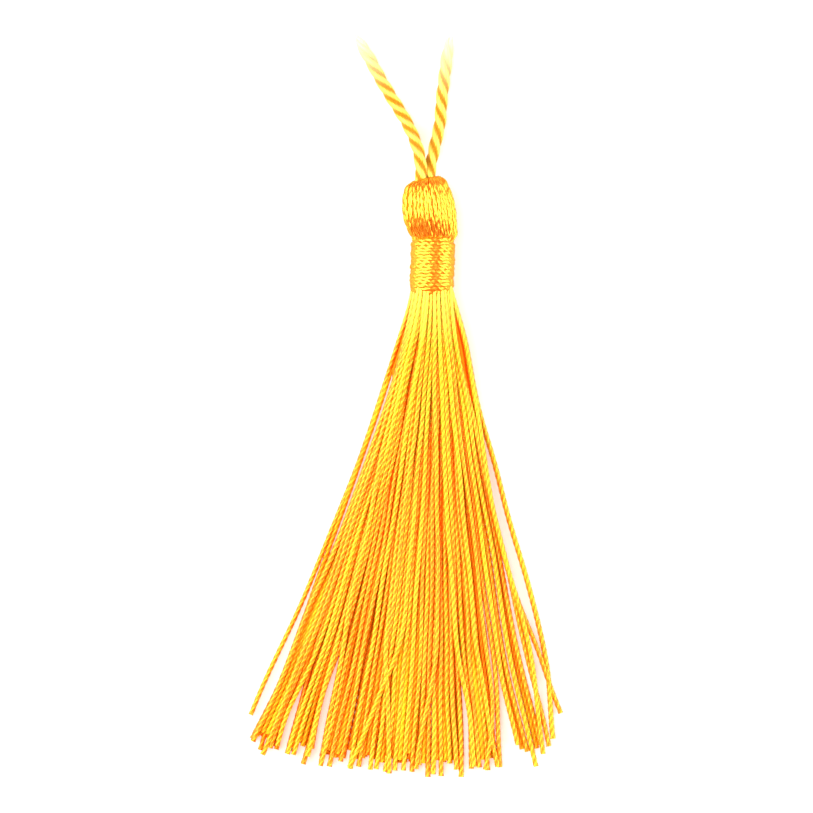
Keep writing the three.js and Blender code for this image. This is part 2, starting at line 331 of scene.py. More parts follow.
def lobedSection(net, lobes, pointsPerLobe, bulge):
    # lobes are circles of radius bulge, set so far out that the section reaches 1
    size = {"Resolution": lobes * pointsPerLobe, "Radius": 1.0}
    circle = net.make("GeometryNodeCurvePrimitiveCircle", None, size)
    index = net.make("GeometryNodeInputIndex")
    share = (index / pointsPerLobe + 0.5) % 1.0 - 0.5
    angle = share * fullTurn / lobes
    across = (1 - bulge) * angle.reckon("COSINE", angle)
    side = (1 - bulge) * angle.reckon("SINE", angle)
    reach = across + (bulge * bulge - side * side) ** 0.5
    place = net.make("GeometryNodeInputPosition")
    marked = store(net, circle, "around", place, "FLOAT_VECTOR")
    # the crest value drives the painted shade in the grooves between the plies
    crested = store(net, marked, "crest", 1 - 2 * share.reckon("ABSOLUTE", share))
    scaling = {"Vector": place, "Scale": reach}
    shaped = net.make("ShaderNodeVectorMath", {"operation": "SCALE"}, scaling)
    return net.make("GeometryNodeSetPosition", None, {"Geometry": crested, "Position": shaped})


def smoothCurves(net, entry):
    lines = net.make("GeometryNodeMeshToCurve", None, {"Mesh": entry.other("Geometry")})
    smooth = {"spline_type": "CATMULL_ROM"}
    splines = net.make("GeometryNodeCurveSplineType", smooth, {"Curve": lines})
    values = {"Curve": splines, "Length": entry.other("Step")}
    return net.make("GeometryNodeResampleCurve", {"mode": "LENGTH"}, values)


def sweep(net, curves, section, tilt, girth):
    turned = net.make("GeometryNodeSetCurveTilt", None, {"Curve": curves, "Tilt": tilt})
    values = {"Curve": turned, "Profile Curve": section, "Scale": girth, "Fill Caps": True}
    return net.make("GeometryNodeCurveToMesh", None, values)


def buildThreadTree():
    tree = bpy.data.node_groups.new("spunThread", "GeometryNodeTree")
    sizes = [("Plies", "Int"), ("Points", "Int"), ("Bulge", "Float"), ("Pitch", "Float"),
             ("Step", "Float"), ("Hand", "Float"), ("Seed", "Int"), ("Material", "Material")]
    net, entry = addInputs(tree, sizes)
    curves = smoothCurves(net, entry)
    length = net.make("GeometryNodeSplineParameter", None, None, "Length")
    number = net.make("GeometryNodeInputIndex")
    values = {"ID": number, "Seed": entry.other("Seed")}
    chance = net.make("FunctionNodeRandomValue", {"data_type": "FLOAT"}, values, 1)  # from 0 to 1
    perCurve = store(net, curves, "strand", chance, "FLOAT", "CURVE")
    measured = store(net, perCurve, "along", length)
    own = net.make("GeometryNodeInputNamedAttribute", {"data_type": "FLOAT"}, {"Name": "strand"})
    girth = net.make("GeometryNodeInputNamedAttribute", {"data_type": "FLOAT"}, {"Name": "girth"})
    tilt = (length / entry.other("Pitch") * entry.other("Hand") + own) * fullTurn
    turned = store(net, measured, "turn", tilt)
    section = lobedSection(net, entry.other("Plies"), entry.other("Points"), entry.other("Bulge"))
    mesh = sweep(net, turned, section, tilt, girth)
    addOutput(net, mesh, entry.other("Material"))
    return tree


def addValues(mesh, name, values):
    numbers = [float(value) for value in values]
    mesh.attributes.new(name, "FLOAT", "POINT").data.foreach_set("value", numbers)


def strandObject(name, strands):
    # one edge line for each strand, with its girth and its painted shade value (the depth
    # attribute) at every point
    points, edges, girths, paintedShades = [], [], [], []
    for strand in strands:
        first = len(points)
        count = len(strand["points"])
        points += [tuple(float(c) * mm for c in p) for p in strand["points"]]
        edges += [(first + k, first + k + 1) for k in range(count - 1)]
        girths += [g * mm for g in strand["girth"]]
        paintedShades += strand["depth"]
    mesh = bpy.data.meshes.new(name)
    mesh.from_pydata(points, edges, [])
    addValues(mesh, "girth", girths)
    addValues(mesh, "depth", paintedShades)
    return addObject(name, mesh)


def grow(piece, tree, inputs):
    # runs a tree on the piece and keeps the result as its plain mesh
    modifier = piece.modifiers.new(tree.name, "NODES")
    modifier.node_group = tree
    sockets = {i.name: i.identifier for i in tree.interface.items_tree if i.in_out == "INPUT"}
    for name, value in inputs.items():
        modifier[sockets[name]] = value
    depsgraph = bpy.context.evaluated_depsgraph_get()
    mesh = bpy.data.meshes.new_from_object(piece.evaluated_get(depsgraph))
    piece.modifiers.clear()
    piece.data = mesh
    print(piece.name, "has", sum(len(p.vertices) - 2 for p in mesh.polygons), "triangles")


def closedTube(name, rings, shades, material):
    # rings of points joined one to the next and closed at both ends, with a shade for each point
    sides = len(rings[0])
    points = [tuple(c * mm for c in p) for ring in rings for p in ring]
    faces = [tuple(range(sides))[::-1], tuple(range(len(points) - sides, len(points)))]
    for n in range(len(rings) - 1):
        for k in range(sides):
            following = (k + 1) % sides
            here, above = n * sides, (n + 1) * sides
            faces.append((here + k, here + following, above + following, above + k))
    mesh = bpy.data.meshes.new(name)
    mesh.from_pydata(points, [], faces)
    addValues(mesh, "depth", shades)
    mesh.materials.append(material)
    mesh.shade_smooth()
    outwards = bmesh.new()
    outwards.from_mesh(mesh)
    bmesh.ops.recalc_face_normals(outwards, faces=outwards.faces)
    outwards.to_mesh(mesh)
    outwards.free()
    return addObject(name, mesh)


def fasten(piece, node):
    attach(piece, "root")
    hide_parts(node)


threadTree = buildThreadTree()


def spin(piece, thread, seed, material):
    # turns each line of the piece into a thread of twisted plies
    grow(piece, threadTree, {
        "Plies": thread["plies"], "Points": thread["plyPoints"], "Bulge": thread["bulge"],
        "Pitch": thread["pitch"] * mm, "Step": thread["step"] * mm, "Hand": thread["hand"],
        "Seed": seed, "Material": material,
    })


cord = {  # the diameter is the whole cord's, the radius is how far its plies reach
    "plies": 3, "diameter": 1.5, "radius": 0.84, "plyShare": 0.61, "pitch": 7.15, "step": 0.25,
    "hand": -1.0, "plyPoints": 16, "uneven": 1.0, "splay": -0.3, "taper": 0.66, "endLength": 3.2,
    "grooveFrom": 0.66, "crestFrom": 0.88,  # cosines of a face's angle away from straight out
}
leftLeg = [
    (2.75, 31.8, 3.25), (2.62, 33.2, 3.32), (2.38, 34.8, 3.45), (2.14, 36.6, 3.57),
    (1.95, 38.4, 3.64), (1.95, 40.0, 3.65), (1.92, 41.2, 3.6), (1.82, 42.4, 3.4),
    (1.55, 43.7, 3.0), (1.15, 45.0, 2.45), (0.62, 46.3, 1.85), (-0.05, 47.7, 1.3),
    (-0.8, 49.0, 0.98), (-1.62, 50.3, 0.86), (-2.45, 51.65, 0.84), (-3.25, 53.0, 0.84),
    (-4.0, 54.35, 0.84), (-4.75, 55.75, 0.84), (-5.5, 57.05, 0.84), (-6.3, 58.25, 0.84),
    (-7.0, 59.2, 0.84),
]
rightLeg = [
    (4.1, 29.6, 2.0), (4.08, 31.0, 2.0), (3.96, 32.6, 2.08), (3.72, 34.4, 2.22),
    (3.46, 36.4, 2.37), (3.2, 38.4, 2.45), (3.08, 40.0, 2.45), (3.14, 41.2, 2.4),
    (3.34, 42.4, 2.25), (3.66, 43.7, 1.95), (3.93, 45.0, 1.6), (4.25, 46.3, 1.25),
    (4.48, 47.6, 0.97), (4.6, 48.9, 0.88), (4.69, 50.3, 0.84), (4.83, 51.7, 0.84),
    (5.0, 53.0, 0.84), (5.17, 54.4, 0.84), (5.35, 55.8, 0.84), (5.55, 57.1, 0.84),
    (5.72, 58.3, 0.84), (5.75, 59.3, 0.84),
]


def buildCordTree():
    # each ply is the route moved out along its own turning normal
    tree = bpy.data.node_groups.new("laidCord", "GeometryNodeTree")
    sizes = [("Plies", "Int"), ("Points", "Int"), ("Radius", "Float"), ("Ply Radius", "Float"),
             ("Pitch", "Float"), ("Step", "Float"), ("Hand", "Float"), ("Uneven", "Float"),
             ("Splay", "Float"), ("Taper", "Float"), ("End Length", "Float"), ("Start", "Float"),
             ("Material", "Material")]
    net, entry = addInputs(tree, sizes)
    route = smoothCurves(net, entry)
    amount = {"Geometry": route, "Amount": entry.other("Plies")}
    copies = net.make("GeometryNodeDuplicateElements", {"domain": "SPLINE"}, amount)
    ply = copies.other("Duplicate Index")
    numbered = store(net, copies, "strand", ply / entry.other("Plies"), "FLOAT", "CURVE")
    own = net.make("GeometryNodeInputNamedAttribute", {"data_type": "FLOAT"}, {"Name": "strand"})
    whole = net.make("GeometryNodeSplineLength")
    cut = whole - own * entry.other("Uneven")
    stretch = {"Curve": numbered, 4: 0.0, 5: cut}  # the lengths at which it starts and ends
    trimmed = net.make("GeometryNodeTrimCurve", {"mode": "LENGTH"}, stretch)
    length = net.make("GeometryNodeSplineParameter", None, None, "Length")
    measured = store(net, trimmed, "along", length)
    turns = length / entry.other("Pitch") * entry.other("Hand") + own + entry.other("Start")
    tilting = {"Curve": measured, "Tilt": turns * fullTurn}
    turned = net.make("GeometryNodeSetCurveTilt", None, tilting)
    left = net.make("GeometryNodeSplineLength") - length
    opened = (1 - left / entry.other("End Length")).clamped()
    splayed = 1 + opened * opened * entry.other("Splay")
    reach = (entry.other("Radius") - entry.other("Ply Radius")) * splayed
    normal = net.make("GeometryNodeInputNormal")
    scaling = {"Vector": normal, "Scale": reach}
    shift = net.make("ShaderNodeVectorMath", {"operation": "SCALE"}, scaling)
    outward = store(net, turned, "outward", normal, "FLOAT_VECTOR")
    laid = net.make("GeometryNodeSetPosition", None, {"Geometry": outward, "Offset": shift})
    middle = store(net, laid, "plyMiddle", net.make("GeometryNodeInputPosition"), "FLOAT_VECTOR")
    circle = {"Resolution": entry.other("Points"), "Radius": 1.0}
    section = net.make("GeometryNodeCurvePrimitiveCircle", None, circle)
    marked = store(net, section, "around", net.make("GeometryNodeInputPosition"), "FLOAT_VECTOR")
    thick = entry.other("Ply Radius") * (1 - opened * opened * entry.other("Taper"))
    mesh = sweep(net, middle, marked, 0.0, thick)
    addOutput(net, markCrests(net, mesh), entry.other("Material"))
    return tree


def markCrests(net, mesh):
    # the crest is where a ply faces away from the cord's middle, and the grooves lie between
    # crests; the material paints shade on the grooves
    place = net.make("GeometryNodeInputPosition")
    vector = {"data_type": "FLOAT_VECTOR"}
    middle = net.make("GeometryNodeInputNamedAttribute", vector, {"Name": "plyMiddle"})
    outward = net.make("GeometryNodeInputNamedAttribute", vector, {"Name": "outward"})
    spoke = net.make("ShaderNodeVectorMath", {"operation": "SUBTRACT"}, {0: place, 1: middle})
    unit = net.make("ShaderNodeVectorMath", {"operation": "NORMALIZE"}, {0: spoke})
    product = {"operation": "DOT_PRODUCT"}
    facing = net.make("ShaderNodeVectorMath", product, {0: unit, 1: outward}, "Value")
    crest = ((facing - cord["grooveFrom"]) / (cord["crestFrom"] - cord["grooveFrom"])).clamped()
    return store(net, mesh, "crest", crest)


cordTree = buildCordTree()


def makeCordLeg(name, node, route, leaves, start):
    count = len(route)
    piece = strandObject(name, [{"points": route, "girth": [1] * count, "depth": [0] * count}])
    grow(piece, cordTree, {
        "Plies": cord["plies"], "Points": cord["plyPoints"], "Radius": cord["radius"] * mm,
        "Ply Radius": cord["radius"] * cord["plyShare"] * mm, "Pitch": cord["pitch"] * mm,
        "Step": cord["step"] * mm, "Hand": cord["hand"], "Uneven": cord["uneven"] * mm,
        "Splay": cord["splay"], "Taper": cord["taper"], "End Length": cord["endLength"] * mm,
        "Start": start, "Material": cordSilk,
    })
    fasten(piece, node)
    leaves = [c * mm for c in leaves]


makeCordLeg("hanging_cord_left", "cord_leg_left", leftLeg, (1.87, 40.0, 3.65), 0.0)
makeCordLeg("hanging_cord_right", "cord_leg_right", rightLeg, (3.2, 40.0, 2.45), 0.27)
print("hanging cord is laid")


binding = {  # the start is in half turns
    "top": 31.88, "bottom": 24.70, "turns": 17, "width": 5.95, "depth": 5.32, "middle": 2.72,
    "girth": 0.55, "shade": 0.1, "stations": 72, "start": -0.7, "tuck": 2.0, "tuckBy": 0.16,
    "plies": 4, "plyPoints": 5, "bulge": 0.70, "pitch": 3.73, "step": 0.12, "hand": 1.0, "seed": 3,
    "waver": 0.08, "waverWaves": (1.37, 0.31), "ripple": 0.09, "rippleWaves": (13.7, 0.83),
    "swell": 0.022, "swellWaves": (0.73, 1.57), "swellShare": 0.7,
}
neckLine = [(24.6, 3.38), (26.4, 3.36), (29.0, 3.50), (32.05, 3.52)]  # y, x of the neck's middle


def neckMiddle(y):
    heights, middles = zip(*neckLine)
    return float(np.interp(y, heights, middles))


def bindingLine():
    count = binding["turns"] * binding["stations"]
    halfWidth = binding["width"] / 2 - binding["girth"]
    halfDepth = binding["depth"] / 2 - binding["girth"]
    waver, ripple, swells = binding["waverWaves"], binding["rippleWaves"], binding["swellWaves"]
    points = []
    for k in range(count + 1):
        share = k / count
        angle = binding["start"] * math.pi + share * binding["turns"] * fullTurn
        y = binding["top"] + (binding["bottom"] - binding["top"]) * share
        y += binding["waver"] * math.sin(angle * waver[0] + 1.0) * math.sin(angle * waver[1])
        y += binding["ripple"] * math.sin(angle * ripple[0] + 2.0) * math.cos(angle * ripple[1])
        turnsToEnd = min(share, 1 - share) * binding["turns"]
        tuck = 1 - binding["tuckBy"] * max(0.0, 1 - turnsToEnd / binding["tuck"])
        uneven = math.sin(angle * swells[0]) + binding["swellShare"] * math.sin(angle * swells[1])
        swell = 1 + binding["swell"] * uneven
        points.append((
            neckMiddle(y) + halfWidth * math.cos(angle) * tuck * swell, y,
            binding["middle"] + halfDepth * math.sin(angle) * tuck,
        ))
    return points


def makeBinding():
    line = bindingLine()
    count = len(line)
    strand = {
        "points": line, "girth": [binding["girth"]] * count, "depth": [binding["shade"]] * count,
    }
    piece = strandObject("neck_binding_thread", [strand])
    spin(piece, binding, binding["seed"], bindingSilk)
    fasten(piece, "neck_binding")


makeBinding()
print("neck binding is wound")


head = {
    "columns": 38, "girth": 0.31, "unevenGirth": (0.93, 1.07), "middle": 2.87, "uneven": 0.03,
    "shift": 0.1, "lean": 0.02, "unevenLean": 0.03, "leanRing": 7, "leanOver": 4,
    "sway": 0.05, "swayStep": 0.9, "radius": 3,  # the sway is in millimetres at this radius
    "slant": 0.20, "slantFrom": 36.0, "slantTo": 39.5, "slantMiddle": 2.9,
    "plies": 3, "plyPoints": 5, "bulge": 0.58, "pitch": 4.4, "step": 0.19, "hand": 1.0, "seed": 5,
    "chance": 11,
}
headRings = [  # y, left and right x and half depth of the ring that the columns' lines pass through
    (38.4, 2.4, 3.4, 0.45), (39.35, 2.1, 3.6, 0.75), (39.74, 1.55, 3.92, 1.15),
    (39.66, 0.72, 4.45, 1.65), (39.15, 0.08, 5.0, 2.15), (38.3, -0.16, 5.42, 2.5),
    (37.3, -0.26, 5.85, 2.74), (36.3, -0.28, 6.1, 2.8), (35.4, -0.24, 6.25, 2.78),
    (34.4, -0.06, 6.32, 2.64), (33.4, 0.3, 6.38, 2.27), (32.7, 0.62, 6.46, 1.93),
    (32.1, 0.98, 6.2, 1.66), (31.2, 1.1, 5.85, 1.45),
]


def slanted(x, y):
    # the fold's right side stands higher than its left
    rise = min(1.0, max(0.0, (y - head["slantFrom"]) / (head["slantTo"] - head["slantFrom"])))
    return y + head["slant"] * rise * (x - head["slantMiddle"])


def headPoint(ring, angle, swell=1.0):
    y, left, right, halfDepth = ring
    x = (left + right) / 2 + (right - left) / 2 * swell * math.cos(angle)
    z = head["middle"] + halfDepth * swell * math.sin(angle)
    return x, slanted(x, y), max(z, head["girth"])


def makeHead():
    chance = np.random.default_rng(head["chance"])
    count = len(headRings)
    strands = []
    for k in range(head["columns"]):
        start = fullTurn * (k + chance.uniform(-head["shift"], head["shift"])) / head["columns"]
        lean = head["lean"] + chance.normal(0, head["unevenLean"])
        swell = 1 + chance.normal(0, head["uneven"])
        phase = chance.uniform(0, fullTurn)
        points = []
        for n, ring in enumerate(headRings):
            sway = head["sway"] / head["radius"] * math.sin(phase + head["swayStep"] * n)
            angle = start + lean * (n - head["leanRing"]) / head["leanOver"] + sway
            points.append(headPoint(ring, angle, swell))
        thick = head["girth"] * chance.uniform(*head["unevenGirth"])
        strands.append({"points": points, "girth": [thick] * count, "depth": [0.0] * count})
    piece = strandObject("head_threads", strands)
    spin(piece, head, head["seed"], headSilk)
    fasten(piece, "thread_hank")


headCore = {"inset": -0.08, "sides": 36, "firstRing": 2}


def makeHeadCore():
    # the inner threads, made as one tube that the gaps between the outer ones look into
    sides, inset = headCore["sides"], headCore["inset"]
    rings = []
    for y, left, right, halfDepth in headRings[headCore["firstRing"]:]:
        ring = (y - inset, left + inset, right - inset, halfDepth - inset)
        rings.append([headPoint(ring, fullTurn * k / sides) for k in range(sides)])
    # painted shade: the whole core takes the shaded colour
    piece = closedTube("hank_core", rings, [1.0] * sides * len(rings), headSilk)
    fasten(piece, "thread_hank")


makeHeadCore()
makeHead()
print("head is folded")


skirt = {
    "top": 26.5, "flare": 24.6, "end": -43.0, "station": 1.5, "fillers": 84, "chance": 21,
    "rootX": 3.42, "rootWidth": 2.35, "rootFrom": -0.82, "rootSpan": 1.58,
    "tipSpread": 0.7, "orderSpread": 0.5, "upperRank": 0.62, "openShare": 0.3,
    "neckGirth": 0.26, "girth": 0.365, "unevenGirth": (0.93, 1.07), "fillOut": 13.0,
    "endFlare": 1.10, "smoothing": 7, "lastPoint": 0.75,
    "middle": 2.0, "bow": 0.05, "bowLeft": 0.16, "bowRight": 0.13, "bowOver": 18.0,
    "sway": 0.16, "swayLength": (14, 26), "swayFrom": 22, "swayOver": 10,
    # painted light in the depth value: lighter at the neck, darker where the threads loosen, darker
    # still where a thread lies buried under its neighbours
    "neckShade": -0.3, "looseShade": 0.32, "tightTo": 22.0, "loosenOver": 22.0,
    "buriedShade": 0.4, "buriedShadeLoose": 0.35,
    "plies": 3, "plyPoints": 4, "bulge": 0.70, "pitch": 3.1, "step": 0.34, "hand": 1.0,
}
tips = [  # x and y of the cut ends that lie uppermost, from left to right
    (-20.5, -35.2), (-19.3, -37.0), (-18.3, -36.1), (-17.4, -36.0), (-16.9, -35.8), (-15.9, -36.9),
    (-15.1, -37.0), (-13.8, -38.3), (-12.6, -36.2), (-11.6, -38.5), (-10.2, -38.6), (-8.9, -37.9),
    (-7.6, -38.9), (-6.3, -38.6), (-5.0, -39.0), (-3.9, -38.9), (-2.9, -39.3), (-1.4, -39.1),
    (-0.4, -39.1), (0.8, -39.3), (1.9, -38.4), (2.7, -40.0), (3.7, -39.6), (4.5, -39.9),
    (5.6, -38.2), (6.6, -39.0), (7.4, -40.0), (8.7, -38.9), (9.9, -38.7), (10.7, -39.1),
]
locks = [  # left and right limits of the cut ends below, and how low they reach
    (-20.1, -16.9, -35.0), (-15.6, -12.6, -36.2), (-11.6, -4.0, -37.6), (-3.5, 7.6, -38.2),
    (8.6, 12.0, -37.9),
]
strays = [  # share across the neck, points passed, x and y of the cut end, rank
    (0.95, [(6.5, 22.2), (10.2, 1.5), (11.1, -2.7), (12.1, -6.9), (13.35, -11.5), (15.0, -17.4),
            (16.3, -20.3), (17.65, -22.8), (19.06, -27.2)], (20.8, -31.5), 1.3),
    (0.0, [(-0.4, -21.6)], (-7.6, -38.7), 1.5), (-0.3, [(-2.7, -24.3)], (-2.2, -39.5), 1.7),
    (0.1, [(4.2, -22.0)], (1.2, -38.9), 1.3), (0.55, [(9.4, -24.0)], (12.3, -38.6), 1.3),
    (0.62, [(11.6, -30.0)], (10.4, -39.0), 1.5), (0.3, [(6.4, -20.0)], (8.9, -38.6), 1.2),
    (-0.55, [(-6.5, -12.0)], (-13.0, -37.2), 1.2), (-0.62, [(-7.0, -14.0)], (-11.2, -38.0), 1.4),
    (0.78, [(12.1, -28.0)], (12.4, -38.7), 0.8), (0.81, [(12.9, -28.0)], (14.9, -35.7), 0.9),
    (0.84, [(13.6, -28.0)], (16.3, -36.6), 0.7), (0.87, [(14.6, -28.0)], (17.3, -38.6), 0.95),
    (0.9, [(15.8, -28.0)], (17.9, -35.7), 0.7), (0.94, [(17.1, -28.0)], (19.1, -35.9), 0.9),
    (0.83, [(13.1, -28.0)], (15.6, -36.3), 0.3), (0.89, [(15.2, -28.0)], (17.5, -36.2), 0.3),
    (-0.72, [(-14.3, -30.9)], (-16.0, -36.9), 0.64), (-0.7, [(-13.6, -30.9)], (-15.3, -36.6), 0.4),
    (-0.78, [(-13.7, -26.5)], (-17.3, -36.3), 0.5),
    (-0.42, [(-6.2, -14.0), (-7.3, -18.3), (-8.2, -21.5)], (-10.6, -37.0), 0.3),
    (0.4, [(5.8, -15.0), (7.1, -19.8), (7.6, -24.0)], (9.0, -37.6), 0.2),
    (0.66, [(8.9, -14.0), (10.4, -19.5)], (11.3, -37.2), 0.2),
]
outliers = [  # the same for the threads outside the gaps at the sides, with their order and lift
    (-0.98, [(-0.9, 19.1), (-1.4, 16.8), (-2.7, 12.8), (-3.75, 9.6), (-6.1, 3.1), (-8.3, -2.6),
             (-10.5, -8.5), (-12.8, -14.2), (-14.5, -17.9), (-16.35, -21.6), (-18.2, -25.3),
             (-19.85, -29.0)], (-20.8, -31.7), 0.5, -60, 0.5),
    (-0.96, [(-0.7, 19.1), (-1.2, 16.8), (-2.45, 12.8), (-3.45, 9.6), (-5.75, 3.1), (-7.9, -2.6),
             (-9.95, -8.5), (-11.7, -13.0), (-13.6, -18.0), (-16.9, -27.0)], (-19.2, -36.4), 0.4,
     -50, 0.0),
    (0.86, [(6.1, 23.9), (6.6, 22.9), (7.22, 21.4), (7.8, 18.9), (8.0, 17.4), (8.25, 16.0),
            (8.8, 13.2), (9.3, 11.2), (9.95, 8.1), (10.75, 5.6), (11.8, 1.9), (12.74, -2.7),
            (14.0, -6.9), (15.57, -11.5), (17.04, -17.0), (17.67, -20.1), (18.5, -23.9),
            (19.0, -26.8), (19.3, -30.4)], (19.6, -34.9), 0.9, 60, 0.0),
    (0.85, [(6.3, 23.0), (7.0, 21.0), (7.8, 17.4), (8.25, 14.7), (8.5, 13.4), (8.75, 12.0),
            (9.05, 10.7), (9.4, 8.0), (9.95, 5.6), (10.65, 1.9), (11.2, -2.7), (12.3, -6.9),
            (13.5, -11.5), (15.1, -17.0), (16.3, -22.0)], (18.4, -36.9), 0.9, 45, 0.3),
]
gaps = [  # the order at which the threads part, and y, x and half width of the gap between them
    (-30.0, [(19.1, -0.33, 0.02), (16.8, -0.85, 0.03), (14.4, -1.65, 0.05), (12.8, -2.1, 0.08),
             (9.6, -3.1, 0.11), (6.4, -4.25, 0.12), (3.1, -5.45, 0.12), (0.3, -6.4, 0.11),
             (-2.1, -7.25, 0.11), (-5.3, -8.45, 0.1), (-8.5, -9.55, 0.1), (-10.8, -10.4, 0.05),
             (-11.8, -10.8, 0.0)]),
    (-55.0, [(-13.5, -12.1, 0.0), (-14.3, -12.4, 0.04), (-17.9, -13.95, 0.2), (-21.6, -15.5, 0.45),
             (-25.3, -17.1, 0.7), (-29.0, -18.6, 0.8), (-31.7, -19.8, 0.6)]),
    (30.0, [(22.0, 6.6, 0.0), (21.0, 6.74, 0.16), (20.0, 6.93, 0.30), (18.7, 7.08, 0.38),
            (17.4, 7.33, 0.46), (16.0, 7.56, 0.42), (14.7, 7.74, 0.30), (13.4, 8.03, 0.18),
            (12.0, 8.37, 0.12), (10.7, 8.65, 0.08), (9.0, 9.1, 0.0)]),
    (50.0, [(5.6, 10.35, 0.0), (1.9, 11.1, 0.2), (-2.7, 11.9, 0.42), (-6.9, 13.07, 0.55),
            (-11.5, 14.49, 0.7), (-17.0, 16.0, 0.62), (-20.0, 16.9, 0.35)]),
    (-16.5, [(-28.1, -14.0, 0.0), (-30.9, -15.4, 0.35), (-33.7, -16.2, 0.4), (-36.5, -16.7, 0.3),
             (-43.0, -17.9, 0.3)]),
    (-12.0, [(-23.8, -9.1, 0.0), (-26.5, -9.8, 0.3), (-29.0, -10.55, 0.5), (-32.7, -11.4, 0.45),
             (-36.5, -12.0, 0.25), (-43.0, -13.0, 0.25)]),
    (8.2, [(-28.5, 7.95, 0.0), (-31.0, 8.0, 0.22), (-34.0, 8.0, 0.28), (-43.0, 8.0, 0.25)]),
]
pile = [  # y, underside and top of the whole skirt
    (26.5, 0.50, 4.70), (24.3, 0.60, 4.75), (22.0, 0.25, 4.75), (19.0, 0.0, 4.60),
    (10.0, 0.0, 3.60), (-8.0, 0.0, 2.45), (-27.0, 0.0, 1.75), (-40.0, 0.0, 1.35),
]


def bowOf(tipX):
    # threads bend outward, the more the further their cut ends lie from the middle
    away = tipX - skirt["middle"]
    most = skirt["bowLeft"] if away < 0 else skirt["bowRight"]
    return skirt["bow"] + most * min(1.0, abs(away) / skirt["bowOver"])


def skirtThreads():
    chance = np.random.default_rng(skirt["chance"])
    threads = [{"tip": tip, "rank": chance.uniform(skirt["upperRank"], 1.0)} for tip in tips]
    widths = np.array([right - left for left, right, _ in locks])
    for _ in range(skirt["fillers"]):
        left, right, low = locks[chance.choice(len(locks), p=widths / widths.sum())]
        tip = (chance.uniform(left, right), low + abs(chance.normal(0, skirt["tipSpread"])))
        threads.append({"tip": tip, "rank": chance.uniform(0.0, skirt["upperRank"])})
    threads.sort(key=lambda thread: thread["tip"][0] + chance.normal(0, skirt["orderSpread"]))
    for k, thread in enumerate(threads):
        thread["across"] = skirt["rootFrom"] + skirt["rootSpan"] * (k + 0.5) / len(threads)
    for across, passed, tip, rank in strays:
        threads.append({"tip": tip, "rank": rank, "across": across, "pass": passed})
    for across, passed, tip, rank, order, lift in outliers:
        threads.append({"tip": tip, "rank": rank, "across": across, "pass": passed})
        threads[-1].update({"order": order, "lift": lift})
    for thread in threads:
        thread.setdefault("order", thread["tip"][0])
        thread.setdefault("lift", 0.0)
        thread["phase"] = chance.uniform(0, fullTurn, 2)[0]  # two are drawn and the first is used
        thread["wave"] = chance.uniform(*skirt["swayLength"])
        thread["girth"] = chance.uniform(*skirt["unevenGirth"])
    return threads


def lineX(thread, y):
    # where the thread would like to be, before its neighbours push it
    tipX, tipY = thread["tip"]
    root = skirt["rootX"] + skirt["rootWidth"] * thread["across"]
    run = max(0.0, (skirt["flare"] - y) / (skirt["flare"] - tipY))
    if "pass" in thread:
        lastX, lastY = thread["pass"][-1]
        slope = (tipX - lastX) / (tipY - lastY)
        # straight on past the cut end
        beyond = (tipX + slope * (skirt["end"] - tipY), skirt["end"])
        route = [(root, skirt["flare"]), *thread["pass"], thread["tip"], beyond]
        x = np.interp(-y, [-p[1] for p in route], [p[0] for p in route])
    else:
        bow = bowOf(tipX)
        x = root + (tipX - root) * (run * (1 - bow) + run * run * bow)
    sway = skirt["sway"] * np.sin(fullTurn * y / thread["wave"] + thread["phase"])
    return x + sway * min(1.0, max(0.0, (skirt["swayFrom"] - y) / skirt["swayOver"]))


def pileAt(y):
    heights, lows, tops = zip(*reversed(pile))
    return float(np.interp(y, heights, lows)), float(np.interp(y, heights, tops))


def girthAt(y):
    share = min(1.0, max(0.0, (skirt["flare"] - y) / skirt["fillOut"]))
    return skirt["neckGirth"] + (skirt["girth"] - skirt["neckGirth"]) * (share * (2 - share))


packing = {
    "softness": 0.90, "outerOrder": 40, "outerShare": 0.5, "rounding": ([0, 24], [6.0, 2.0]),
    "roundFrom": 15, "neckFrom": 24, "neckPasses": 30, "passes": 14,
    "press": 0.45, "give": 0.6, "pullAcross": 0.12, "pullUp": 0.10,
    "buriedBeside": 0.55, "buriedBelow": 0.6,
}


def gapsAt(y, order):
    # the least and the most x that each thread may have beside the gaps that pass this station
    most, least = np.full(len(order), np.inf), np.full(len(order), -np.inf)
    for border, line in gaps:
        heights, middles, halves = zip(*line)
        if not heights[-1] <= y <= heights[0]:
            continue
        middle = np.interp(-y, [-h for h in heights], middles)
        half = np.interp(-y, [-h for h in heights], halves)
        most = np.where(order < border, np.minimum(most, middle - half), most)
        least = np.where(order > border, np.maximum(least, middle + half), least)
    return least, most


